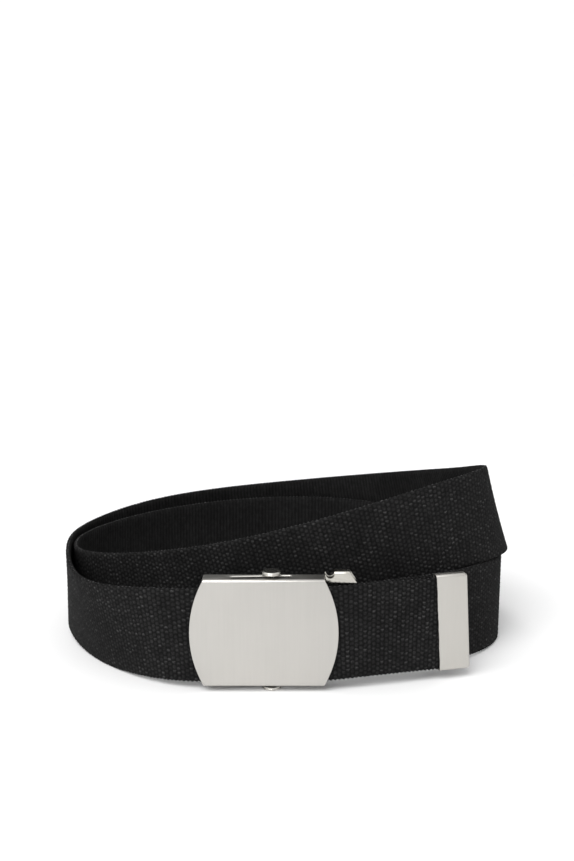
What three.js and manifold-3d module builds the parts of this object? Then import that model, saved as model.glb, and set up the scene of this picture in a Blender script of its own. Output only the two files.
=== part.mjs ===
// A web belt with a box buckle, fastened, wound in two turns and standing on its edge.
// Millimetres, +Z up, the buckle's face looking along -Y.
import * as THREE from 'three';
import { mergeVertices } from 'three/addons/utils/BufferGeometryUtils.js';
import Module from 'manifold-3d';

// The webbing.
const STRAP = { width: 38, thickness: 2.3, steps: 252 };

// The strap's route from the clamped end to the free end, followed along its lower edge.
// lift is the height of that edge, and lean tips the strap's top edge outward, in degrees.
const ROUTE = [
  // out of the clamp, along the floor round the right and the back
  { x: 6, y: 2.35, lift: 4.1, lean: 0 },
  { x: 26, y: 2.4, lift: 4.3, lean: 0 },
  { x: 47, y: 10.6, lift: 3.9, lean: 0 },
  { x: 77.5, y: 34.3, lift: 1.4, lean: 0 },
  { x: 92, y: 64.3, lift: 0.3, lean: 0.6 },
  { x: 81.6, y: 99.1, lift: 0.3, lean: 0.2 },
  { x: 60, y: 131.1, lift: 0.35, lean: 0 },
  { x: 28, y: 152.5, lift: 0.5, lean: 0 },
  { x: -8.7, y: 155, lift: 0.5, lean: 0 },
  { x: -44.6, y: 142.3, lift: 0.5, lean: -0.5 },
  { x: -74.7, y: 117.8, lift: 0.5, lean: -1 },
  { x: -92.9, y: 86.4, lift: 0.5, lean: -1 },
  { x: -85.7, y: 55, lift: 1.9, lean: 1 },
  // across the front behind the buckle, climbing to the right
  { x: -53.7, y: 33.9, lift: 7.5, lean: 0.8 },
  { x: -15.6, y: 22.5, lift: 16.5, lean: 2.6 },
  { x: 23, y: 20.2, lift: 27.3, lean: 2.4 },
  { x: 60.3, y: 29, lift: 36.7, lean: -1.5 },
  // over the first turn at the right, then down round its outside
  { x: 90, y: 50.2, lift: 39.4, lean: -13 },
  { x: 95.4, y: 87.7, lift: 33.3, lean: -19 },
  { x: 77.2, y: 122.6, lift: 23, lean: -8.6 },
  { x: 45.8, y: 148, lift: 14.3, lean: -1.5 },
  { x: 7.5, y: 159.2, lift: 8.4, lean: 1.5 },
  { x: -33, y: 154, lift: 5.5, lean: 1.3 },
  { x: -68.7, y: 134.3, lift: 3.5, lean: 0.8 },
  { x: -93, y: 102.9, lift: 1.4, lean: -0.6 },
  { x: -95.8, y: 65.6, lift: 2.2, lean: -0.2 },
  { x: -77.8, y: 30, lift: 0.35, lean: 11.8 },
  // along the front, through the case, and out as the free end
  { x: -51.8, y: 5.6, lift: 2.2, lean: 5.2 },
  { x: -32, y: -1.1, lift: 3.4, lean: 0.6 },
  { x: -9, y: -2.2, lift: 3.5, lean: 0 },
  { x: 12, y: -2.3, lift: 4.0, lean: 0 },
  { x: 31, y: 0.5, lift: 4.85, lean: 0.3 },
  { x: 69.6, y: 12.14, lift: 4.45, lean: 1.0 },
];

// The case: sheet metal folded to a channel, open at the back, with bulging ends.
const CASE = {
  middle: -9, front: -4.5, depth: 7.3, sheet: 0.8, bend: 1.1,
  bottom: 2.3, top: 45.8, flat: 46.8, bulge: 5.6,
};
// The slots in its top and bottom walls, which slant away from the face to the right.
const SLOT = { left: -20.9, leftY: -0.65, right: 0.5, rightY: 0.6, width: 2.7 };
// The bar that wedges the strap, with a neck through each slot and a knob outside.
const ROLLER = { x: -6, y: 0.45, radius: 1.15, neck: 0.75, knob: 3.8, knobHeight: 1.35, reach: 2.3 };
// The clamp on the fixed end: a back plate, and at the top an ear folded over the strap.
const CLAMP = {
  front: 0.05, back: 4.65, sheet: 0.8, bend: 1,
  plateLeft: 4, plateBottom: 5.1, plateTop: 44.4,
  earLeft: 14.8, earRight: 27.1, earBottom: 43, earTop: 47.7,
  slant: 24.4, corner: 43.45, notchX: 16.8, notchZ: 46.6, notchRadius: 1.6,
};
// The tip: a flat cap pressed from thin sheet, open where the strap goes in.
// skew: how far the tip's ends run towards the strap's free end for each mm further down
const TIP = {
  length: 13.4, height: 40.3, sheet: 0.5, rim: 0.45, gap: 0.32, raised: 0.45,
  fold: 1.2, corner: 1.3, skew: 0.08,
};

const wasm = await Module();
wasm.setup();

// A geometry with its shared corners merged, as a closed solid.
function solid(geometry, matrix) {
  const g = geometry.clone();
  g.deleteAttribute('normal');
  g.deleteAttribute('uv');
  if (matrix) g.applyMatrix4(matrix);
  const m = mergeVertices(g, 1e-5);
  return new wasm.Manifold(new wasm.Mesh({
    numProp: 3,
    vertProperties: new Float32Array(m.attributes.position.array),
    triVerts: new Uint32Array(m.index.array),
  }));
}

// A solid back as a geometry.
function toGeometry(manifold) {
  const mesh = manifold.getMesh();
  const g = new THREE.BufferGeometry();
  g.setAttribute('position', new THREE.BufferAttribute(mesh.vertProperties, 3));
  g.setIndex(new THREE.BufferAttribute(mesh.triVerts, 1));
  g.computeVertexNormals();
  return g;
}

const X = new THREE.Vector3(1, 0, 0);
const Y = new THREE.Vector3(0, 1, 0);
const Z = new THREE.Vector3(0, 0, 1);

// A section drawn in Y and Z, run along X.
function alongX(shape, from, to, curveSegments = 5) {
  const g = new THREE.ExtrudeGeometry(shape, { depth: to - from, bevelEnabled: false, curveSegments });
  return solid(g, new THREE.Matrix4().makeBasis(Y, Z, X).setPosition(from, 0, 0));
}

// An outline drawn in X and Z, run along Y.
function alongY(shape, from, to, curveSegments = 10) {
  const g = new THREE.ExtrudeGeometry(shape, { depth: to - from, bevelEnabled: false, curveSegments });
  return solid(g, new THREE.Matrix4().makeBasis(X, Z, Y.clone().negate()).setPosition(0, to, 0));
}

// An outline drawn in X and Y, run up Z.
function upZ(shape, from, to, curveSegments = 8) {
  const g = new THREE.ExtrudeGeometry(shape, { depth: to - from, bevelEnabled: false, curveSegments });
  return solid(g, new THREE.Matrix4().makeTranslation(0, 0, from));
}

// Natural cubic spline through one value for each station, by station number.
function spline(v) {
  const last = v.length - 1;
  const bend = new Array(v.length).fill(0);
  const c = new Array(v.length).fill(0);
  const d = new Array(v.length).fill(0);
  for (let i = 1; i < last; i++) {
    c[i] = 1 / (4 - c[i - 1]);
    d[i] = (6 * (v[i + 1] - 2 * v[i] + v[i - 1]) - d[i - 1]) * c[i];
  }
  for (let i = last - 1; i > 0; i--) bend[i] = d[i] - c[i] * bend[i + 1];
  return (u) => {
    const i = Math.min(Math.floor(u), last - 1);
    const t = u - i;
    const s = 1 - t;
    return s * v[i] + t * v[i + 1] + ((t ** 3 - t) * bend[i + 1] + (s ** 3 - s) * bend[i]) / 6;
  };
}

// The line of the strap's lower edge.
class Route extends THREE.Curve {
  constructor(rows) {
    super();
    this.last = rows.length - 1;
    this.x = spline(rows.map((r) => r.x));
    this.y = spline(rows.map((r) => r.y));
    this.z = spline(rows.map((r) => r.lift));
    this.lean = spline(rows.map((r) => r.lean));
    this.arcLengthDivisions = 2000;
  }

  getPoint(t, target = new THREE.Vector3()) {
    const u = t * this.last;
    return target.set(this.x(u), this.y(u), this.z(u));
  }

  // Where the strap is at a share of its length: along, through and across it.
  frameAt(share) {
    const t = this.getUtoTmapping(share);
    const along = this.getTangent(t);
    const outward = new THREE.Vector3(along.y, -along.x, 0).normalize();
    const up = new THREE.Vector3().crossVectors(outward, along);
    const lean = THREE.MathUtils.degToRad(this.lean(t * this.last));
    const across = up.multiplyScalar(Math.cos(lean)).addScaledVector(outward, Math.sin(lean));
    const through = new THREE.Vector3().crossVectors(across, along).normalize();
    return { point: this.getPoint(t), along, through, across };
  }
}

// The strap: a flat bar of webbing bent along the route, standing on its lower edge.
function strap(route) {
  const { width, thickness, steps } = STRAP;
  const g = new THREE.BoxGeometry(1, thickness, width, steps, 1, 1);
  const p = g.attributes.position;
  const at = new THREE.Vector3();
  for (let i = 0; i < p.count; i++) {
    const f = route.frameAt(THREE.MathUtils.clamp(p.getX(i) + 0.5, 0, 1));
    at.copy(f.point).addScaledVector(f.through, p.getY(i)).addScaledVector(f.across, p.getZ(i) + width / 2);
    p.setXYZ(i, at.x, at.y, at.z);
  }
  return toGeometry(solid(g));
}

// A channel's section in Y and Z, with its two outer corners and their insides rounded.
function channel(front, back, bottom, top, sheet, bend) {
  const inner = Math.max(bend - sheet, 0.2);
  const s = new THREE.Shape();
  s.moveTo(back, bottom);
  s.lineTo(back, bottom + sheet);
  s.lineTo(front + sheet + inner, bottom + sheet);
  s.absarc(front + sheet + inner, bottom + sheet + inner, inner, -Math.PI / 2, -Math.PI, true);
  s.lineTo(front + sheet, top - sheet - inner);
  s.absarc(front + sheet + inner, top - sheet - inner, inner, Math.PI, Math.PI / 2, true);
  s.lineTo(back, top - sheet);
  s.lineTo(back, top);
  s.lineTo(front + bend, top);
  s.absarc(front + bend, top - bend, bend, Math.PI / 2, Math.PI, false);
  s.lineTo(front, bottom + bend);
  s.absarc(front + bend, bottom + bend, bend, Math.PI, Math.PI * 1.5, false);
  s.closePath();
  return s;
}

function buckleCase() {
  const { middle, front, depth, sheet, bend, bottom, top, flat, bulge } = CASE;
  const half = flat / 2;
  const rise = (top - bottom) / 2;
  const radius = (rise ** 2 + bulge ** 2) / (2 * bulge);
  const angle = Math.asin(rise / radius);
  const centre = half + bulge - radius;
  const level = (top + bottom) / 2;
  const face = new THREE.Shape();
  face.absarc(middle + centre, level, radius, -angle, angle, false);
  face.absarc(middle - centre, level, radius, Math.PI - angle, Math.PI + angle, false);
  face.closePath();
  const long = half + bulge + 1;
  const body = alongX(channel(front, front + depth, bottom, top, sheet, bend), middle - long, middle + long)
    .intersect(alongY(face, front - 1, front + depth + 1, 16));
  const slope = Math.atan2(SLOT.rightY - SLOT.leftY, SLOT.right - SLOT.left);
  const slot = new THREE.Shape();
  slot.absarc(SLOT.right, SLOT.rightY, SLOT.width / 2, slope - Math.PI / 2, slope + Math.PI / 2, false);
  slot.absarc(SLOT.left, SLOT.leftY, SLOT.width / 2, slope + Math.PI / 2, slope + Math.PI * 1.5, false);
  slot.closePath();
  return toGeometry(body.subtract(upZ(slot, bottom - 1, top + 1)));
}

// One turned piece: bar, necks and knobs, standing on the floor on its lower knob.
function frictionRoller() {
  const { x, y, radius, neck, knob, knobHeight, reach } = ROLLER;
  const top = CASE.top + reach;
  const barBottom = CASE.bottom + CASE.sheet + 0.35;
  const barTop = CASE.top - CASE.sheet - 0.35;
  const half = [
    [0, 0], [knob - 0.5, 0], [knob, 0.3], [knob, knobHeight - 0.25], [knob - 0.4, knobHeight], [neck, knobHeight],
    [neck, barBottom], [radius, barBottom],
  ];
  const profile = half.map(([r, z]) => new THREE.Vector2(r, z)).concat([
    [radius, barTop], [neck, barTop], [neck, top - knobHeight], [knob - 0.4, top - knobHeight],
    [knob, top - knobHeight + 0.25], [knob, top - 0.3], [knob - 0.5, top], [0, top],
  ].map(([r, z]) => new THREE.Vector2(r, z)));
  const g = new THREE.LatheGeometry(profile, 28);
  const stand = new THREE.Matrix4().makeBasis(X, Z, Y.clone().negate()).setPosition(x, y, 0);
  return toGeometry(solid(g, stand));
}

function endClamp() {
  const c = CLAMP;
  const plate = new THREE.BoxGeometry(c.earRight - 1 - c.plateLeft, c.sheet, c.plateTop - c.plateBottom);
  const plateAt = new THREE.Matrix4().makeTranslation(
    (c.earRight - 1 + c.plateLeft) / 2, c.back - c.sheet / 2, (c.plateTop + c.plateBottom) / 2);
  // the ear's section: up behind the strap, over its top edge, and down in front of it
  const inner = c.bend - c.sheet;
  const ear = new THREE.Shape();
  ear.moveTo(c.front, c.earBottom);
  ear.lineTo(c.front + c.sheet, c.earBottom);
  ear.lineTo(c.front + c.sheet, c.earTop - c.bend);
  ear.absarc(c.front + c.bend, c.earTop - c.bend, inner, Math.PI, Math.PI / 2, true);
  ear.absarc(c.back - c.bend, c.earTop - c.bend, inner, Math.PI / 2, 0, true);
  ear.lineTo(c.back - c.sheet, c.earBottom);
  ear.lineTo(c.back, c.earBottom);
  ear.absarc(c.back - c.bend, c.earTop - c.bend, c.bend, 0, Math.PI / 2, false);
  ear.absarc(c.front + c.bend, c.earTop - c.bend, c.bend, Math.PI / 2, Math.PI, false);
  ear.closePath();
  // its outline from the front: a round bite near the case and a slanted far end
  const outline = new THREE.Shape();
  outline.moveTo(c.earLeft, c.earBottom - 1);
  outline.lineTo(c.earRight - 1, c.earBottom - 1);
  outline.lineTo(c.earRight - 0.5, c.corner - 1);
  outline.lineTo(c.earRight, c.corner);
  outline.lineTo(c.earRight - 1.1, c.corner + 1.3);
  outline.lineTo(c.slant, c.earTop);
  outline.lineTo(c.slant, c.earTop + 1);
  outline.lineTo(c.notchX + c.notchRadius, c.earTop + 1);
  outline.lineTo(c.notchX + c.notchRadius, c.notchZ);
  outline.absarc(c.notchX, c.notchZ, c.notchRadius, 0, -Math.PI, true);
  outline.lineTo(c.earLeft, c.notchZ);
  outline.closePath();
  return toGeometry(alongX(ear, c.earLeft - 1, c.earRight + 1)
    .intersect(alongY(outline, c.front - 1, c.back + 1))
    .add(solid(plate, plateAt)));
}

// The tip, made lying along X with its closed end at the right, then set on the strap's end.
function strapTip(route) {
  const { length, height, sheet, rim, gap, raised, fold, corner, skew } = TIP;
  const out = STRAP.thickness / 2 + gap + sheet;
  const plan = new THREE.Shape();
  plan.moveTo(-length, -out);
  plan.lineTo(-fold, -out);
  plan.absarc(-fold, fold - out, fold, -Math.PI / 2, 0, false);
  plan.absarc(-fold, out - fold, fold, 0, Math.PI / 2, false);
  plan.lineTo(-length, out);
  plan.closePath();
  const side = new THREE.Shape();
  side.moveTo(-length - 1, -height / 2);
  side.lineTo(-corner, -height / 2);
  side.absarc(-corner, corner - height / 2, corner, -Math.PI / 2, 0, false);
  side.absarc(-corner, height / 2 - corner, corner, 0, Math.PI / 2, false);
  side.lineTo(-length - 1, height / 2);
  side.closePath();
  const pocket = new THREE.BoxGeometry(length, 2 * (out - sheet), height - 2 * rim);
  const tip = upZ(plan, -height / 2, height / 2, 5)
    .intersect(alongY(side, -out - 1, out + 1, 5))
    .subtract(solid(pocket, new THREE.Matrix4().makeTranslation(-length / 2 - sheet, 0, 0)));
  const middle = route.frameAt(1 - length / 2 / route.getLength());
  const end = route.frameAt(1);
  const at = end.point.clone().addScaledVector(middle.across, STRAP.width / 2 + raised)
    .addScaledVector(middle.along, sheet + gap + skew * STRAP.width / 2);
  const g = toGeometry(tip);
  g.applyMatrix4(new THREE.Matrix4().set(1, 0, -skew, 0, 0, 1, 0, 0, 0, 0, 1, 0, 0, 0, 0, 1));
  g.applyMatrix4(new THREE.Matrix4().makeBasis(middle.along, middle.through, middle.across).setPosition(at));
  return g;
}

const webbing = { color: 0x1b1b1c, roughness: 0.9, metalness: 0 };
const nickel = { color: 0xc9c5be, roughness: 0.32, metalness: 1 };

const route = new Route(ROUTE);
const belt = new THREE.Group();
for (const [name, geometry, finish] of [
  ['strap', strap(route), webbing],
  ['buckle_case', buckleCase(), nickel],
  ['friction_roller', frictionRoller(), nickel],
  ['end_clamp', endClamp(), nickel],
  ['strap_tip', strapTip(route), nickel],
]) {
  const mesh = new THREE.Mesh(geometry, new THREE.MeshStandardMaterial(finish));
  mesh.name = name;
  belt.add(mesh);
}

// The origin is on the floor, under the middle of the whole belt.
belt.updateMatrixWorld(true);
const box = new THREE.Box3().setFromObject(belt);
const middle = box.getCenter(new THREE.Vector3());
belt.position.set(-middle.x, -middle.y, -box.min.z);
const group = new THREE.Group();
group.add(belt);

export default group;
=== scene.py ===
import math

import bmesh
import bpy
import numpy as np
from mathutils import Matrix, Vector


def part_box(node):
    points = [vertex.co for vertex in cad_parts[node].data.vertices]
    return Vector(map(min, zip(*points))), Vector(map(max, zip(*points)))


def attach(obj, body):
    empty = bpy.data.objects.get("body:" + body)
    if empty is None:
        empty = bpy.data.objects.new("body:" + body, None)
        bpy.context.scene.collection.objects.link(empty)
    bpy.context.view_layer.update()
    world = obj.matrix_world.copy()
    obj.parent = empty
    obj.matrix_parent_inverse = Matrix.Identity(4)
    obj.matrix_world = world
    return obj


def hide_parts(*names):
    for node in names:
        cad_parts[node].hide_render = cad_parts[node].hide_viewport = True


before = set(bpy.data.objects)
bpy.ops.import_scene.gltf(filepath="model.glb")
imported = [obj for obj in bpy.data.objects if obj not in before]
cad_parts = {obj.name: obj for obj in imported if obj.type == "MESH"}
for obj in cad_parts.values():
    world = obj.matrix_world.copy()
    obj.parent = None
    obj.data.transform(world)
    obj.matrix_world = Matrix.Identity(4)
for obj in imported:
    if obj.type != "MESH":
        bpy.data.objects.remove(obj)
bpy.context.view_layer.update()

# ------------------------------------------------------------------ studio
# A plain white table that runs on far behind the belt, under a white tent that is a little brighter
# on the left. One soft lamp from above, left and in front gives the short shadow on the right.
CAMERA_AT = (0.000479, -0.56861, 0.20065)
CAMERA_DOWN = 11.2          # degrees below the level
CAMERA_FOCUS = 1316         # focal length in pixels of the 574 x 861 picture
PICTURE_HEIGHT = 861
SENSOR_HEIGHT = 36
TABLE = {"size": 40, "middle": (0, 12, 0), "color": (0.86, 0.86, 0.86, 1), "roughness": 0.55, "specular": 0.25}
TENT = {"bright": 1.05, "to_right": -0.2}
# a dark cloth hangs behind the belt, above the view: along which axis of the direction that is
# looked in its share changes, from where to where, and from how much to how much
CLOTH = (("Z", 0.13, 0.17, 0, 1), ("Z", 0.55, 0.75, 1, 0), ("Y", 0.1, 0.5, 0, 0.85))
LAMP = {"energy": 2.2, "spread": 46, "from_front": 33, "from_left": 20}     # angles in degrees


def new_material(name):
    m = bpy.data.materials.new(name)
    m.use_nodes = True
    return m, m.node_tree, m.node_tree.nodes["Principled BSDF"]


def math_node(tree, operation, *values):
    """A Math node whose sockets are set or linked in order."""
    node = tree.nodes.new("ShaderNodeMath")
    node.operation = operation
    for socket, value in zip(node.inputs, values):
        if isinstance(value, (int, float)):
            socket.default_value = value
        else:
            tree.links.new(value, socket)
    return node.outputs[0]


def map_range(tree, value, start, end, at_start, at_end, interpolation="LINEAR"):
    node = tree.nodes.new("ShaderNodeMapRange")
    node.interpolation_type = interpolation
    for socket, number in zip(node.inputs[1:5], (start, end, at_start, at_end)):
        socket.default_value = number
    tree.links.new(value, node.inputs[0])
    return node.outputs[0]


camera_data = bpy.data.cameras.new("camera")
camera_data.sensor_fit = "VERTICAL"
camera_data.sensor_height = SENSOR_HEIGHT
camera_data.lens = SENSOR_HEIGHT * CAMERA_FOCUS / PICTURE_HEIGHT
camera_data.clip_start = 0.02
camera_data.clip_end = 60
camera = bpy.data.objects.new("camera", camera_data)
camera.location = CAMERA_AT
camera.rotation_euler = (math.radians(90 - CAMERA_DOWN), 0, 0)
bpy.context.scene.collection.objects.link(camera)
bpy.context.scene.camera = camera
bpy.context.scene.view_settings.view_transform = "Standard"

bpy.ops.object.select_all(action="DESELECT")
bpy.ops.mesh.primitive_plane_add(size=TABLE["size"], location=TABLE["middle"])
table = bpy.context.object
table.name = "table"
table_white, tree, shader = new_material("table_white")
shader.inputs["Base Color"].default_value = TABLE["color"]
shader.inputs["Roughness"].default_value = TABLE["roughness"]
shader.inputs["Specular IOR Level"].default_value = TABLE["specular"]
table.data.materials.append(table_white)

tent = bpy.data.worlds.new("tent")
tent.use_nodes = True
tree = tent.node_tree
looked_in = tree.nodes.new("ShaderNodeSeparateXYZ")
tree.links.new(tree.nodes.new("ShaderNodeTexCoord").outputs["Generated"], looked_in.inputs[0])
brightness = math_node(tree, "MULTIPLY_ADD", looked_in.outputs["X"], TENT["to_right"], TENT["bright"])
above_view, below_top, behind = (map_range(tree, looked_in.outputs[axis], *change) for axis, *change in CLOTH)
share = math_node(tree, "MULTIPLY", math_node(tree, "MULTIPLY", above_view, below_top), behind)
dimmed = math_node(tree, "MULTIPLY", brightness, math_node(tree, "SUBTRACT", 1, share))
background = tree.nodes["Background"]
background.inputs["Color"].default_value = (1, 1, 1, 1)
tree.links.new(dimmed, background.inputs["Strength"])
bpy.context.scene.world = tent

lamp_data = bpy.data.lights.new("soft_lamp", "SUN")
lamp_data.energy = LAMP["energy"]
lamp_data.angle = math.radians(LAMP["spread"])
lamp = bpy.data.objects.new("soft_lamp", lamp_data)
lamp.rotation_euler = (math.radians(LAMP["from_front"]), math.radians(-LAMP["from_left"]), 0)
bpy.context.scene.collection.objects.link(lamp)


# ------------------------------------------------------------------- strap
# One length of black cotton belt webbing, woven with staggered bumps on its face, ribs on its back
# and a tight selvedge. It is clamped behind the buckle, wound two turns and held by the roller.
WEBBING = {
    "width": 0.038, "thickness": 0.0023,
    "columns": 668,         # of bumps along the strap, 1.7 mm apart
    "bumps": 20,            # across it
    "groove": 0.00028,      # how deep the gap between two columns is
    "dip": 0.00030,         # and the gap between two bumps of a column
    "rib_groove": 0.00026,  # between two ribs of the back
    "uneven": 0.00005,      # how far one thread stands out from the next
    "drift": 0.00050,       # how far one column's bumps slide against the next column's
    "loop": 0.0003,         # how far the loops of weft at the edge stand out
    "selvedge": 0.00045,    # how deep the gap between two of them is
    "edge_round": 0.00030,  # how far the webbing thins at its edges
    "rim_groove": 0.00018,  # the gaps between the columns there, deeper by this
    "rim_in": 0.00012,      # and how far that thinner line lies in from the loops
    "loop_uneven": 0.00003, # how far one loop stays behind the next
    "slide": 0.00007,       # how far a thread slips along the strap
}
RELIEF_DEPTH = 0.0005       # the depth that the material takes as the weave's bottom
MERGE = 0.000001
# linear colour values: the gaps with painted shade, a bump's top lighter from dust and painted sheen, a painted
# highlight dash, a painted highlight on a loop at the top edge, the back's share
TONE = {"gap": 0.0052, "bump": 0.0095, "painted_highlight_dash": 0.02, "loop": 0.075, "back": 0.7}
COTTON_TINT = (1.0, 0.985, 0.99)
# The strap's lower edge from the clamped end to the free end, in millimetres from the buckle's own
# origin: x, y, height, and how far the top edge leans outward in degrees.
STRAP_ROUTE = [
    (6, 2.35, 4.1, 0), (26, 2.4, 4.3, 0), (47, 10.6, 3.9, 0), (77.5, 34.3, 1.4, 0),
    (92, 64.3, 0.3, 0.6), (81.6, 99.1, 0.3, 0.2), (60, 131.1, 0.35, 0), (28, 152.5, 0.5, 0),
    (-8.7, 155, 0.5, 0), (-44.6, 142.3, 0.5, -0.5), (-74.7, 117.8, 0.5, -1), (-92.9, 86.4, 0.5, -1),
    (-85.7, 55, 1.9, 1), (-53.7, 33.9, 7.5, 0.8), (-15.6, 22.5, 16.5, 2.6), (23, 20.2, 27.3, 2.4),
    (60.3, 29, 36.7, -1.5), (90, 50.2, 39.4, -13), (95.4, 87.7, 33.3, -19), (77.2, 122.6, 23, -8.6),
    (45.8, 148, 14.3, -1.5), (7.5, 159.2, 8.4, 1.5), (-33, 154, 5.5, 1.3), (-68.7, 134.3, 3.5, 0.8),
    (-93, 102.9, 1.4, -0.6), (-95.8, 65.6, 2.2, -0.2), (-77.8, 30, 0.35, 11.8), (-51.8, 5.6, 2.2, 5.2),
    (-32, -1.1, 3.4, 0.6), (-9, -2.2, 3.5, 0), (12, -2.3, 4.0, 0), (31, 0.5, 4.85, 0.3),
    (69.6, 12.14, 4.45, 1.0),
]
CASE_LOW, CASE_HIGH = (Vector(corner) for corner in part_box("buckle_case"))
# that origin in the belt's frame: the case is centred at x -9, starts at y -4.5 and stands at z 2.3
BUCKLE_ORIGIN = np.array([
    (CASE_LOW.x + CASE_HIGH.x) / 2 + 0.009, CASE_LOW.y + 0.0045, CASE_LOW.z - 0.0023])


def natural_spline(rows):
    """Second differences of a natural cubic spline through the rows, by row number."""
    n = len(rows)
    system, right = np.eye(n), np.zeros_like(rows)
    for i in range(1, n - 1):
        system[i, i - 1:i + 2] = 1, 4, 1
        right[i] = 6 * (rows[i + 1] - 2 * rows[i] + rows[i - 1])
    return np.linalg.solve(system, right)


def strap_frames(stations):
    """Point, along, through and across at evenly spaced stations of the strap."""
    rows = np.array(STRAP_ROUTE, float)
    rows[:, :3] /= 1000
    bend = natural_spline(rows)

    def at(u, slope=False):
        """The spline at row number u, or its slope there."""
        i = np.minimum(u.astype(int), len(rows) - 2)
        t = (u - i)[:, None]
        s = 1 - t
        if slope:
            return rows[i + 1] - rows[i] + ((3 * t ** 2 - 1) * bend[i + 1] - (3 * s ** 2 - 1) * bend[i]) / 6
        return s * rows[i] + t * rows[i + 1] + ((t ** 3 - t) * bend[i + 1] + (s ** 3 - s) * bend[i]) / 6

    fine = np.linspace(0, len(rows) - 1, 20001)
    points = at(fine)[:, :3]
    run = np.concatenate([[0], np.cumsum(np.linalg.norm(np.diff(points, axis=0), axis=1))])
    u = np.interp(np.linspace(0, run[-1], stations), run, fine)
    here = at(u)
    along = at(u, slope=True)[:, :3]
    along /= np.linalg.norm(along, axis=1)[:, None]
    outward = np.stack([along[:, 1], -along[:, 0], np.zeros(stations)], 1)
    outward /= np.linalg.norm(outward, axis=1)[:, None]
    lean = np.radians(here[:, 3])[:, None]
    across = np.cross(outward, along) * np.cos(lean) + outward * np.sin(lean)
    through = np.cross(across, along)
    through /= np.linalg.norm(through, axis=1)[:, None]
    return here[:, :3] + BUCKLE_ORIGIN, along, through, across, run[-1]


def weave_strap():
    """A flat grid of threads, closed round the webbing's section, then laid along the route."""
    w, half = WEBBING["width"], WEBBING["thickness"] / 2
    steps, fine, coarse = WEBBING["columns"] * 2, WEBBING["bumps"] * 2, WEBBING["bumps"]
    # round the section: up the face, over the top edge, down the back, under the lower edge
    ring = fine + 1 + 1 + coarse + 1 + 1
    bpy.ops.object.select_all(action="DESELECT")
    bpy.ops.mesh.primitive_grid_add(x_subdivisions=steps, y_subdivisions=ring, size=1)
    strap = bpy.context.object
    strap.name = "strap_webbing"
    mesh = strap.data
    flat = np.empty(len(mesh.vertices) * 3)
    mesh.vertices.foreach_get("co", flat)
    flat = flat.reshape(-1, 3)
    i = np.rint((flat[:, 0] + 0.5) * steps).astype(int)
    j = np.rint((flat[:, 1] + 0.5) * ring).astype(int) % ring

    rng = np.random.RandomState(5)
    crest = i % 2 == 0
    jitter = rng.normal(0, 1, (steps + 1, ring))[i, j]
    offset = rng.uniform(-1, 1, steps // 2 + 2)
    offset = (offset[i // 2] + offset[(i + 1) // 2]) / 2
    face, high, back = j <= fine, j == fine + 1, (j > fine + 1) & (j < ring - 1)
    flank = face | back
    k = np.where(face, j, (ring - 2 - j) * 2)
    rim = flank & ((k == 0) | (k == fine))
    raised = (k + i // 2) % 2 == 0
    # how far the surface lies under the webbing's own outside, from 0 on a bump's top
    depth = np.where(crest, np.where(raised, 0.0, WEBBING["dip"]), WEBBING["groove"])
    depth = np.where(back, np.where(crest, 0.0, WEBBING["rib_groove"]), depth)
    depth = np.where(rim, WEBBING["edge_round"] + np.where(crest, 0, WEBBING["rim_groove"]), depth)
    depth = depth + WEBBING["uneven"] * np.abs(jitter)
    notch = np.where(crest, WEBBING["loop_uneven"] * np.abs(jitter), WEBBING["selvedge"]) - WEBBING["loop"]
    drift = WEBBING["drift"] * offset * np.clip(np.minimum(k, fine - k) / 4, 0, 1) * face
    across_m = np.where(flank, k / fine * w, np.where(high, w, 0.0)) + drift
    inset = np.where(rim, notch + WEBBING["rim_in"], np.where(flank, 0.0, notch))
    across_m = across_m + np.where(across_m > w / 2, -inset, inset)
    out = np.where(face, -1.0, np.where(back, 1.0, 0.0)) * (half - depth)
    slide = WEBBING["slide"] * jitter * crest * ((i > 0) & (i < steps))

    point, along, through, across, length = strap_frames(steps + 1)
    co = point[i] + along[i] * slide[:, None] + through[i] * out[:, None] + across[i] * across_m[:, None]
    mesh.vertices.foreach_set("co", co.ravel())
    # for the material: column number, place round the section in bumps, and height
    place = np.where(face, k / 2, np.where(high, coarse + 0.5, np.where(back, 2 * coarse + 1 - k / 2, -0.5)))
    relief = np.where(flank, 1 - depth / RELIEF_DEPTH, 1 - (notch + WEBBING["loop"]) / WEBBING["selvedge"])
    weave = mesh.attributes.new("weave", "FLOAT_VECTOR", "POINT")
    weave.data.foreach_set("vector", np.stack([i / 2, place, relief], 1).ravel())
    bpy.ops.object.mode_set(mode="EDIT")
    bpy.ops.mesh.select_all(action="SELECT")
    bpy.ops.mesh.remove_doubles(threshold=MERGE)
    bpy.ops.mesh.select_all(action="DESELECT")
    bpy.ops.mesh.select_mode(type="EDGE")
    bpy.ops.mesh.select_non_manifold()
    bpy.ops.mesh.fill_holes(sides=0)
    bpy.ops.object.mode_set(mode="OBJECT")
    bpy.ops.object.shade_smooth()
    return strap, length


def noise(tree, vector, scale, detail, roughness=0.5):
    node = tree.nodes.new("ShaderNodeTexNoise")
    for name, number in (("Scale", scale), ("Detail", detail), ("Roughness", roughness)):
        node.inputs[name].default_value = number
    tree.links.new(vector, node.inputs["Vector"])
    return node.outputs["Fac"]


def scaled_color(tree, color, factor, socket):
    """The colour times the factor, into the shader's socket."""
    node = tree.nodes.new("ShaderNodeVectorMath")
    node.operation = "SCALE"
    node.inputs[0].default_value = color
    tree.links.new(factor, node.inputs["Scale"])
    tree.links.new(node.outputs[0], socket)


def add_bump(tree, shader, height, strength, distance):
    node = tree.nodes.new("ShaderNodeBump")
    node.inputs["Strength"].default_value = strength
    node.inputs["Distance"].default_value = distance
    tree.links.new(height, node.inputs["Height"])
    tree.links.new(node.outputs[0], shader.inputs["Normal"])


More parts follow.
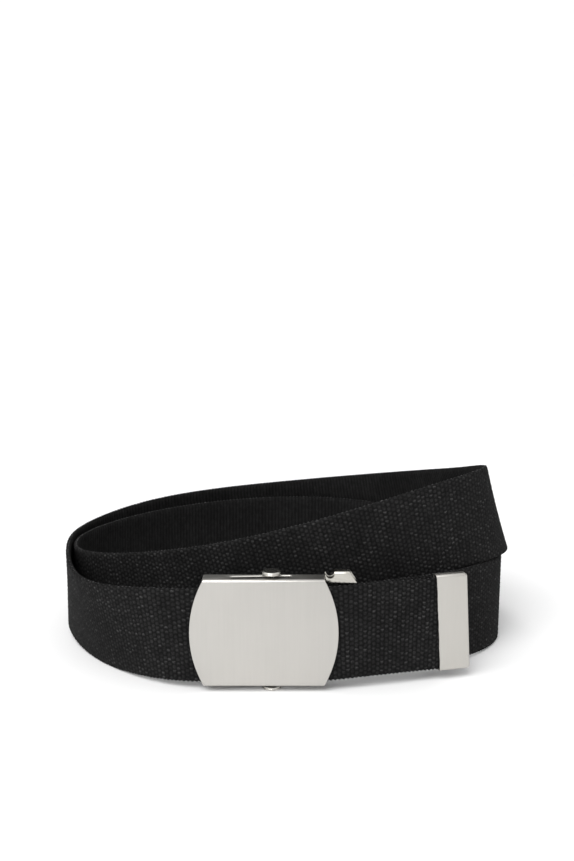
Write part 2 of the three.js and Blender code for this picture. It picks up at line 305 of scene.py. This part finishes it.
def black_webbing():
    """Black cotton: staggered bumps of yarn, painted shade in the gaps between them, bump tops lighter from
    dust and painted sheen, painted highlights on some threads and on the loops of the top selvedge.
    """
    m, tree, shader = new_material("black_webbing")
    n, link = tree.nodes, tree.links.new

    def sums(operation, *values):
        return math_node(tree, operation, *values)

    def blend(*numbers):
        return map_range(tree, *numbers, interpolation="SMOOTHSTEP")

    def chance(a, b):
        """A number from 0 to 1 that is the same all over one bump."""
        pair = n.new("ShaderNodeCombineXYZ")
        link(a, pair.inputs[0])
        link(b, pair.inputs[1])
        node = n.new("ShaderNodeTexWhiteNoise")
        node.noise_dimensions = "3D"
        link(pair.outputs[0], node.inputs["Vector"])
        return node.outputs["Value"]

    weave = n.new("ShaderNodeAttribute")
    weave.attribute_name = "weave"
    split = n.new("ShaderNodeSeparateXYZ")
    link(weave.outputs["Vector"], split.inputs[0])
    place = n.new("ShaderNodeTexCoord").outputs["Object"]
    u, v, relief = split.outputs
    bumps = WEBBING["bumps"]
    # which column and which bump of it, and how far from the bump's middle
    column = sums("ROUND", u)
    on_face = sums("LESS_THAN", v, bumps + 0.7)
    stagger = sums("MULTIPLY_ADD", sums("MODULO", column, 2.0), 0.5, v)
    bump_number = sums("MULTIPLY", sums("ROUND", stagger), on_face)
    from_u = sums("MULTIPLY", sums("SUBTRACT", u, column), 2.0)
    from_v = sums("MULTIPLY", sums("SUBTRACT", stagger, sums("ROUND", stagger)), sums("MULTIPLY", on_face, 2.0))
    dome = sums("MULTIPLY", sums("SUBTRACT", 1.0, sums("MULTIPLY", from_u, from_u)),
                sums("SUBTRACT", 1.0, sums("MULTIPLY", from_v, from_v)))
    one_bump = chance(column, bump_number)
    fuzz = noise(tree, place, 2600, 3)
    patches = noise(tree, place, 45, 5, 0.62)
    streaks = noise(tree, place, 480, 2)
    # painted shade darkens the gaps between bumps and each bump's top is lighter, partly dust and partly
    # painted sheen; each bump is a little lighter or darker than its neighbours
    vary = sums("MULTIPLY_ADD", sums("MULTIPLY", one_bump, on_face), 0.6, 0.7)
    shaded_gap_to_lit_top = sums("MULTIPLY", blend(dome, 0.05, 0.95, 0.0, 1.0), vary)
    tone = sums("MULTIPLY_ADD", shaded_gap_to_lit_top, TONE["bump"], TONE["gap"])
    # on some bumps a painted highlight: a short light dash on the upper side, where a thread would catch the
    # light
    painted_highlight_dash = sums("MULTIPLY", blend(sums("ABSOLUTE", sums("ADD", from_v, -0.25)), 0.1, 0.42, 1.0, 0.0),
                blend(sums("ABSOLUTE", from_u), 0.45, 1.0, 1.0, 0.0))
    highlighted_bump = blend(chance(bump_number, column), 0.62, 1.0, 0.0, 1.0)
    painted_highlight_dash = sums("MULTIPLY", sums("MULTIPLY", painted_highlight_dash, highlighted_bump), on_face)
    tone = sums("MULTIPLY_ADD", painted_highlight_dash, TONE["painted_highlight_dash"], tone)
    # painted highlight on the loops of weft along the top edge, where the light from above falls, the higher
    # loops more, one by one
    lit_top_edge = blend(sums("ABSOLUTE", sums("SUBTRACT", v, bumps + 0.4)), 0.3, 0.9, 1.0, 0.0)
    lit_loop_chance = blend(chance(column, on_face), 0.15, 0.9, 0.0, 1.0)
    loop = sums("MULTIPLY", sums("MULTIPLY", lit_top_edge, blend(relief, 0.45, 1.0, 0.0, 1.0)), lit_loop_chance)
    tone = sums("MULTIPLY_ADD", loop, TONE["loop"], tone)
    # the back is a little darker than the face
    tone = sums("MULTIPLY", tone, sums("MULTIPLY_ADD", on_face, 1 - TONE["back"], TONE["back"]))
    tone = sums("MULTIPLY", tone, blend(fuzz, 0.3, 0.7, 0.55, 1.45))
    tone = sums("MULTIPLY", tone, blend(streaks, 0.3, 0.7, 0.76, 1.24))
    tone = sums("MULTIPLY", tone, blend(patches, 0.35, 0.65, 0.88, 1.12))
    scaled_color(tree, COTTON_TINT, tone, shader.inputs["Base Color"])
    link(blend(fuzz, 0.0, 1.0, 0.75, 0.95), shader.inputs["Roughness"])
    # the yarns' twist, as slanting lines a third of a millimetre apart
    turn = n.new("ShaderNodeMapping")
    turn.inputs["Rotation"].default_value = (0, 0, math.radians(32))
    link(weave.outputs["Vector"], turn.inputs["Vector"])
    twist = n.new("ShaderNodeTexWave")
    twist.wave_profile = "SIN"
    for name, number in (("Scale", 1.5), ("Distortion", 2.5), ("Detail", 1.5), ("Detail Scale", 1.2)):
        twist.inputs[name].default_value = number
    link(turn.outputs[0], twist.inputs["Vector"])
    height = sums("MULTIPLY_ADD", twist.outputs["Fac"], 0.18, sums("MULTIPLY_ADD", fuzz, 0.35, dome))
    add_bump(tree, shader, height, 0.6, 0.0003)
    shader.inputs["Specular IOR Level"].default_value = 0.08
    return m


strap, strap_length = weave_strap()
strap.data.materials.append(black_webbing())
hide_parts("strap")
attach(strap, "root")


# ------------------------------------------------------------- buckle case
# The box of the buckle: sheet steel folded to a channel that is open behind, its two ends cut to a
# bulging curve, a long slanting slot punched in its top and its bottom, plated satin nickel.
CASE = {
    "sheet": 0.0008, "bend": 0.0011, "flat": 0.0468, "bulge": 0.0056, "edge": 0.00026, "slot_rim": 0.00045,
}
# the slot's two ends, from the case's middle and its face
CASE_SLOT = {"left": (-0.0119, 0.00385), "right": (0.0095, 0.0051), "width": 0.0027}


def use_only(piece):
    """Select the piece alone and make it the active one."""
    bpy.ops.object.select_all(action="DESELECT")
    piece.select_set(True)
    bpy.context.view_layer.objects.active = piece


def add_block(name, low, high):
    """A cube primitive set between two corners."""
    bpy.ops.object.select_all(action="DESELECT")
    bpy.ops.mesh.primitive_cube_add(
        size=1, location=[(a + b) / 2 for a, b in zip(low, high)], scale=[b - a for a, b in zip(low, high)])
    piece = bpy.context.object
    piece.name = name
    bpy.ops.object.transform_apply(location=True, rotation=True, scale=True)
    return piece


def pick_faces(piece, wanted):
    """In edit mode, select just the faces whose centre and normal answer."""
    bpy.ops.mesh.select_mode(type="FACE")
    bpy.ops.mesh.select_all(action="DESELECT")
    bm = bmesh.from_edit_mesh(piece.data)
    for f in bm.faces:
        f.select_set(bool(wanted(f.calc_center_median(), f.normal)))
    bm.select_flush_mode()
    bmesh.update_edit_mesh(piece.data)


def cut(piece, tool, how):
    """Boolean with a tool that is then thrown away."""
    use_only(piece)
    m = piece.modifiers.new("cut", "BOOLEAN")
    m.operation, m.object, m.solver = how, tool, "EXACT"
    bpy.ops.object.modifier_apply(modifier=m.name)
    bpy.data.objects.remove(tool)


def round_edges(piece, width):
    """Break the sharp edges as tumbling does, and smooth what is left of them."""
    use_only(piece)
    bpy.ops.object.mode_set(mode="EDIT")
    bpy.ops.mesh.select_all(action="SELECT")
    bpy.ops.mesh.remove_doubles(threshold=2 * MERGE)
    bpy.ops.mesh.dissolve_limited(angle_limit=math.radians(0.5))
    bpy.ops.object.mode_set(mode="OBJECT")
    m = piece.modifiers.new("edges", "BEVEL")
    m.width, m.segments, m.limit_method, m.angle_limit = width, 2, "ANGLE", math.radians(40)
    m.miter_outer = "MITER_ARC"
    bpy.ops.object.modifier_apply(modifier=m.name)
    bpy.ops.object.shade_smooth_by_angle(angle=math.radians(34))


def satin_nickel(name, color, low, high, brush=(1, 1, 1), marks=0.5):
    """Satin nickel plate with faint handling marks, brushed along the axis that brush shortens most."""
    m, tree, shader = new_material(name)
    shader.inputs["Metallic"].default_value = 1
    place = tree.nodes.new("ShaderNodeTexCoord")
    stretch = tree.nodes.new("ShaderNodeMapping")
    stretch.inputs["Scale"].default_value = brush
    tree.links.new(place.outputs["Object"], stretch.inputs["Vector"])
    lines = noise(tree, stretch.outputs[0], 1500, 3)
    handled = noise(tree, place.outputs["Object"], 70, 6, 0.6)
    mixed = tree.nodes.new("ShaderNodeMix")
    mixed.inputs["Factor"].default_value = marks
    tree.links.new(lines, mixed.inputs[2])
    tree.links.new(handled, mixed.inputs[3])
    tree.links.new(map_range(tree, mixed.outputs[0], 0.3, 0.7, low, high), shader.inputs["Roughness"])
    shade = map_range(tree, mixed.outputs[0], 0.3, 0.7, 0.96, 1.03)
    scaled_color(tree, color, shade, shader.inputs["Base Color"])
    add_bump(tree, shader, lines, 0.12, 0.00002)
    return m


def fold_case():
    s, r = CASE["sheet"], CASE["bend"]
    middle = (CASE_LOW + CASE_HIGH) / 2
    half = (CASE_HIGH.x - CASE_LOW.x) / 2 + 0.001
    case = add_block("case_folded", (middle.x - half, CASE_LOW.y, CASE_LOW.z + r),
                     (middle.x + half, CASE_LOW.y + s, CASE_HIGH.z - r))
    bpy.ops.object.mode_set(mode="EDIT")
    for sign, level in ((1, CASE_HIGH.z - r), (-1, CASE_LOW.z + r)):
        pick_faces(case, lambda c, n: n.z * sign > 0.9 and abs(c.z - level) < 1e-5)
        bpy.ops.mesh.spin(steps=8, angle=sign * math.pi / 2, axis=(1, 0, 0),
                          center=(middle.x, CASE_LOW.y + r, level))
        bpy.ops.mesh.extrude_region_move(
            TRANSFORM_OT_translate={"value": (0, CASE_HIGH.y - CASE_LOW.y - r, 0)})
    bpy.ops.mesh.select_all(action="SELECT")
    bpy.ops.mesh.normals_make_consistent(inside=False)
    bpy.ops.object.mode_set(mode="OBJECT")
    # the two curved ends
    rise = (CASE_HIGH.z - CASE_LOW.z) / 2
    radius = (rise ** 2 + CASE["bulge"] ** 2) / (2 * CASE["bulge"])
    inset = radius - CASE["flat"] / 2 - CASE["bulge"]
    for side in (-1, 1):
        bpy.ops.object.select_all(action="DESELECT")
        bpy.ops.mesh.primitive_cylinder_add(
            vertices=320, radius=radius, depth=0.04, rotation=(math.pi / 2, 0, 0),
            location=(middle.x - side * inset, middle.y, middle.z))
        cut(case, bpy.context.object, "INTERSECT")
    # the slots, cut through the top and the bottom at once
    left, right = CASE_SLOT["left"], CASE_SLOT["right"]
    bpy.ops.object.select_all(action="DESELECT")
    bpy.ops.mesh.primitive_cylinder_add(
        vertices=32, radius=CASE_SLOT["width"] / 2, depth=0.08,
        location=(middle.x + left[0], CASE_LOW.y + left[1], middle.z))
    punch = bpy.context.object
    bpy.ops.object.transform_apply(location=True, rotation=True, scale=True)
    run = Vector((right[0] - left[0], right[1] - left[1], 0))
    centre = Vector((middle.x + left[0], CASE_LOW.y + left[1], middle.z))
    bpy.ops.object.mode_set(mode="EDIT")
    bpy.ops.mesh.select_all(action="DESELECT")
    bm = bmesh.from_edit_mesh(punch.data)
    for v in bm.verts:
        v.select_set((v.co - centre).dot(run) > 1e-9)
    bmesh.update_edit_mesh(punch.data)
    bpy.ops.transform.translate(value=run)
    bpy.ops.object.mode_set(mode="OBJECT")
    cut(case, punch, "DIFFERENCE")
    # the punch rolls the slots' outer rims over
    bpy.ops.object.mode_set(mode="EDIT")
    bpy.ops.mesh.select_mode(type="EDGE")
    bpy.ops.mesh.select_all(action="DESELECT")
    bm = bmesh.from_edit_mesh(case.data)
    for e in bm.edges:
        on_rim = True
        for v in e.verts:
            share = min(max((v.co - centre).dot(run) / run.length_squared, 0), 1)
            near = centre + run * share
            off = math.hypot(v.co.x - near.x, v.co.y - near.y) - CASE_SLOT["width"] / 2
            level = min(abs(v.co.z - CASE_HIGH.z), abs(v.co.z - CASE_LOW.z))
            on_rim = on_rim and abs(off) < 2e-5 and level < 1e-6
        e.select_set(on_rim)
    bmesh.update_edit_mesh(case.data)
    bpy.ops.mesh.bevel(offset=CASE["slot_rim"], segments=3, affect="EDGES")
    bpy.ops.object.mode_set(mode="OBJECT")
    round_edges(case, CASE["edge"])
    return case


case = fold_case()
case.data.materials.append(
    satin_nickel("case_nickel", (0.500, 0.486, 0.460), 0.30, 0.42, brush=(1, 1, 0.03), marks=0.5))
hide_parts("buckle_case")
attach(case, "root")


# --------------------------------------------------------- friction roller
# The round bar that wedges the strap, turned from steel in one piece. A neck runs through each slot
# of the case and a flat knob outside it is what the finger slides.
ROLLER = {"bar": 0.00115, "neck": 0.00075, "knob": 0.0038, "knob_height": 0.00135, "dish": 0.0027}


def turn_roller():
    low, high = (Vector(corner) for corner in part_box("friction_roller"))
    x, y = (low.x + high.x) / 2, (low.y + high.y) / 2
    knob, tall, neck, bar = ROLLER["knob"], ROLLER["knob_height"], ROLLER["neck"], ROLLER["bar"]
    inside = CASE["sheet"] + 0.00035
    half = [  # radius and depth under the knob's outer end: a shallow dish, a bead, a line, a bead
        (ROLLER["dish"] * 0.5, 0.00006), (ROLLER["dish"], 0.00004), (knob - 0.0007, 0.0),
        (knob - 0.00035, 0.00007), (knob - 0.0001, 0.00025), (knob, 0.0005), (knob - 0.00005, 0.00068),
        (knob - 0.00018, 0.00075), (knob - 0.00005, 0.00082), (knob, 0.00098), (knob - 0.0001, tall - 0.0001),
        (knob - 0.0004, tall), (neck + 0.0001, tall), (neck, tall + 0.0001),
    ]
    bar_low, bar_high = CASE_LOW.z + inside, CASE_HIGH.z - inside
    profile = [(r, low.z + h) for r, h in half] + [
        (neck, bar_low), (bar - 0.0001, bar_low), (bar, bar_low + 0.0001),
        (bar, bar_high - 0.0001), (bar - 0.0001, bar_high), (neck, bar_high),
    ] + [(r, high.z - h) for r, h in reversed(half)]
    bpy.ops.object.select_all(action="DESELECT")
    bpy.ops.mesh.primitive_circle_add(vertices=56, radius=profile[0][0], fill_type="NGON",
                                      location=(x, y, profile[0][1]))
    roller = bpy.context.object
    roller.name = "roller_turned"
    bpy.ops.object.transform_apply(location=True, rotation=True, scale=True)
    bpy.ops.object.mode_set(mode="EDIT")
    bpy.ops.mesh.select_mode(type="FACE")
    bpy.ops.mesh.select_all(action="SELECT")
    for (r0, z0), (r1, z1) in zip(profile, profile[1:]):
        bpy.ops.mesh.extrude_region_move(TRANSFORM_OT_translate={"value": (0, 0, z1 - z0)})
        if abs(r1 - r0) > 1e-7:
            bpy.ops.transform.resize(value=(r1 / r0, r1 / r0, 1), center_override=(x, y, z1))
    bpy.ops.mesh.select_all(action="SELECT")
    bpy.ops.mesh.normals_make_consistent(inside=False)
    bpy.ops.object.mode_set(mode="OBJECT")
    bpy.ops.object.shade_smooth_by_angle(angle=math.radians(50))
    return roller


roller = turn_roller()
roller.data.materials.append(satin_nickel("roller_nickel", (0.56, 0.545, 0.51), 0.16, 0.28, marks=0.7))
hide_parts("friction_roller")
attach(roller, "root")


# --------------------------------------------------------------- end clamp
# The steel clamp that holds the strap's fixed end in the back of the case: a flat plate behind the
# strap, and at the top an ear folded over the strap's edge, with a round bite and a slanted end.
CLAMP = {
    "sheet": 0.0008, "bend": 0.001, "ear": 0.0123, "ear_drop": 0.0047, "plate_under": 0.0033,
    "plate_short": 0.001, "bite": 0.0016, "bite_from_left": 0.002, "bite_drop": 0.0011,
    "slant_in": 0.0027, "slant_down": 0.00425, "slope_back": 0.22, "edge": 0.00014,
}


def fold_clamp():
    low, high = (Vector(corner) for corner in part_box("end_clamp"))
    s, r = CLAMP["sheet"], CLAMP["bend"]
    ear_left, ear_low = high.x - CLAMP["ear"], high.z - CLAMP["ear_drop"]
    clamp = add_block("clamp_folded", (ear_left, low.y, ear_low), (high.x, low.y + s, high.z - r))
    bpy.ops.object.mode_set(mode="EDIT")
    pick_faces(clamp, lambda c, n: n.z > 0.9)
    bpy.ops.mesh.spin(steps=8, angle=math.pi / 2, axis=(1, 0, 0), center=(0, low.y + r, high.z - r))
    bpy.ops.mesh.extrude_region_move(TRANSFORM_OT_translate={"value": (0, high.y - low.y - 2 * r, 0)})
    bpy.ops.mesh.spin(steps=8, angle=math.pi / 2, axis=(1, 0, 0), center=(0, high.y - r, high.z - r))
    bpy.ops.mesh.extrude_region_move(TRANSFORM_OT_translate={"value": (0, 0, ear_low - high.z + r)})
    # the slanted far end, and the short slope back under its corner
    corner_z = high.z - CLAMP["slant_down"]
    for point, normal in (
        ((high.x, 0, corner_z), (CLAMP["slant_down"], 0, CLAMP["slant_in"])),
        ((high.x, 0, corner_z), (1, 0, -CLAMP["slope_back"])),
    ):
        bpy.ops.mesh.select_all(action="SELECT")
        bpy.ops.mesh.bisect(plane_co=point, plane_no=normal, use_fill=True, clear_outer=True, threshold=1e-7)
    bpy.ops.mesh.select_all(action="SELECT")
    bpy.ops.mesh.normals_make_consistent(inside=False)
    bpy.ops.object.mode_set(mode="OBJECT")
    # the round bite, which is open upward and towards the case
    bite_x, bite_z = ear_left + CLAMP["bite_from_left"], high.z - CLAMP["bite_drop"]
    bpy.ops.object.select_all(action="DESELECT")
    bpy.ops.mesh.primitive_cylinder_add(
        vertices=48, radius=CLAMP["bite"], depth=0.02, rotation=(math.pi / 2, 0, 0),
        location=(bite_x, (low.y + high.y) / 2, bite_z))
    cut(clamp, bpy.context.object, "DIFFERENCE")
    above = add_block("above", (ear_left - s, low.y - s, bite_z),
                      (bite_x + CLAMP["bite"], high.y + s, high.z + s))
    cut(clamp, above, "DIFFERENCE")
    plate = add_block("plate", (low.x, high.y - s, low.z),
                      (high.x - CLAMP["plate_short"], high.y, high.z - CLAMP["plate_under"]))
    cut(clamp, plate, "UNION")
    round_edges(clamp, CLAMP["edge"])
    return clamp


clamp = fold_clamp()
clamp.data.materials.append(satin_nickel("clamp_nickel", (0.50, 0.485, 0.445), 0.18, 0.32, marks=0.6))
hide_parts("end_clamp")
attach(clamp, "root")


# --------------------------------------------------------------- strap tip
# A flat cap pressed from thin nickel-plated sheet and closed on the strap's free end. Its outer
# corners are rounded, and its cut edge across the strap is a little wavy from the press.
TIP = {
    "length": 0.0134, "height": 0.0403, "sheet": 0.0005, "rim": 0.00045, "gap": 0.00032,
    "raised": 0.00045,      # how far its middle lies above the webbing's
    "fold": 0.0012, "inner_fold": 0.0008, "corner": 0.0013, "edge": 0.00014, "wave": 0.00016,
    "skew": 0.08,           # how far its ends run towards the free end for each unit further down
    "levels": 26,           # rows of points down its height
}


def press_tip():
    length, half, s = TIP["length"], TIP["height"] / 2, TIP["sheet"]
    out = WEBBING["thickness"] / 2 + TIP["gap"] + s
    tip = add_block("tip_pressed", (-length, -out, -half), (0, out, half))
    pocket = add_block("pocket", (-2 * length, s - out, TIP["rim"] - half), (-s, out - s, half - TIP["rim"]))

    def round_off(piece, size, segments, wanted):
        """Bevel the edges whose two ends answer."""
        use_only(piece)
        bpy.ops.object.mode_set(mode="EDIT")
        bpy.ops.mesh.select_mode(type="EDGE")
        bpy.ops.mesh.select_all(action="DESELECT")
        bm = bmesh.from_edit_mesh(piece.data)
        for e in bm.edges:
            e.select_set(bool(wanted(*(v.co for v in e.verts))))
        bmesh.update_edit_mesh(piece.data)
        bpy.ops.mesh.bevel(offset=size, segments=segments, affect="EDGES")
        bpy.ops.object.mode_set(mode="OBJECT")

    round_off(tip, TIP["corner"], 8, lambda a, b: min(a.x, b.x) > -1e-6 and abs(a.y - b.y) > 0.001)
    round_off(tip, TIP["fold"], 6, lambda a, b: (
        abs(a.y - b.y) < 1e-6 and max(a.x, b.x) > 1e-6 - length))
    round_off(pocket, TIP["inner_fold"], 5, lambda a, b: abs(a.x - b.x) > 0.001)
    cut(tip, pocket, "DIFFERENCE")
    # more points down the height, so that the cut edge can wander
    levels = np.linspace(-half, half, TIP["levels"])
    bpy.ops.object.mode_set(mode="EDIT")
    for level in levels[1:-1]:
        bpy.ops.mesh.select_all(action="SELECT")
        bpy.ops.mesh.bisect(plane_co=(0, 0, level), plane_no=(0, 0, 1), threshold=1e-7)
    bpy.ops.object.mode_set(mode="OBJECT")
    wander = np.random.RandomState(11).uniform(0, TIP["wave"], TIP["levels"])
    for v in tip.data.vertices:
        if v.co.x < -length + 1e-5:
            v.co.x += float(np.interp(v.co.z, levels, wander))
        v.co.x -= TIP["skew"] * v.co.z
    round_edges(tip, TIP["edge"])
    # set on the strap's end, as the webbing runs at the middle of the tip
    stations = 4000
    point, along, through, across, total = strap_frames(stations + 1)
    i = int(round(stations * (1 - length / 2 / total)))
    at = point[-1] + across[i] * (WEBBING["width"] / 2 + TIP["raised"]) + along[i] * (
        s + TIP["gap"] + TIP["skew"] * WEBBING["width"] / 2)
    place = Matrix([[along[i][k], through[i][k], across[i][k], at[k]] for k in range(3)] + [[0, 0, 0, 1]])
    tip.matrix_world = place
    bpy.ops.object.transform_apply(location=True, rotation=True, scale=True)
    return tip


tip = press_tip()
tip.data.materials.append(
    satin_nickel("tip_nickel", (0.505, 0.490, 0.460), 0.34, 0.48, brush=(1, 1, 0.05), marks=0.5))
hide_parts("strap_tip")
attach(tip, "root")
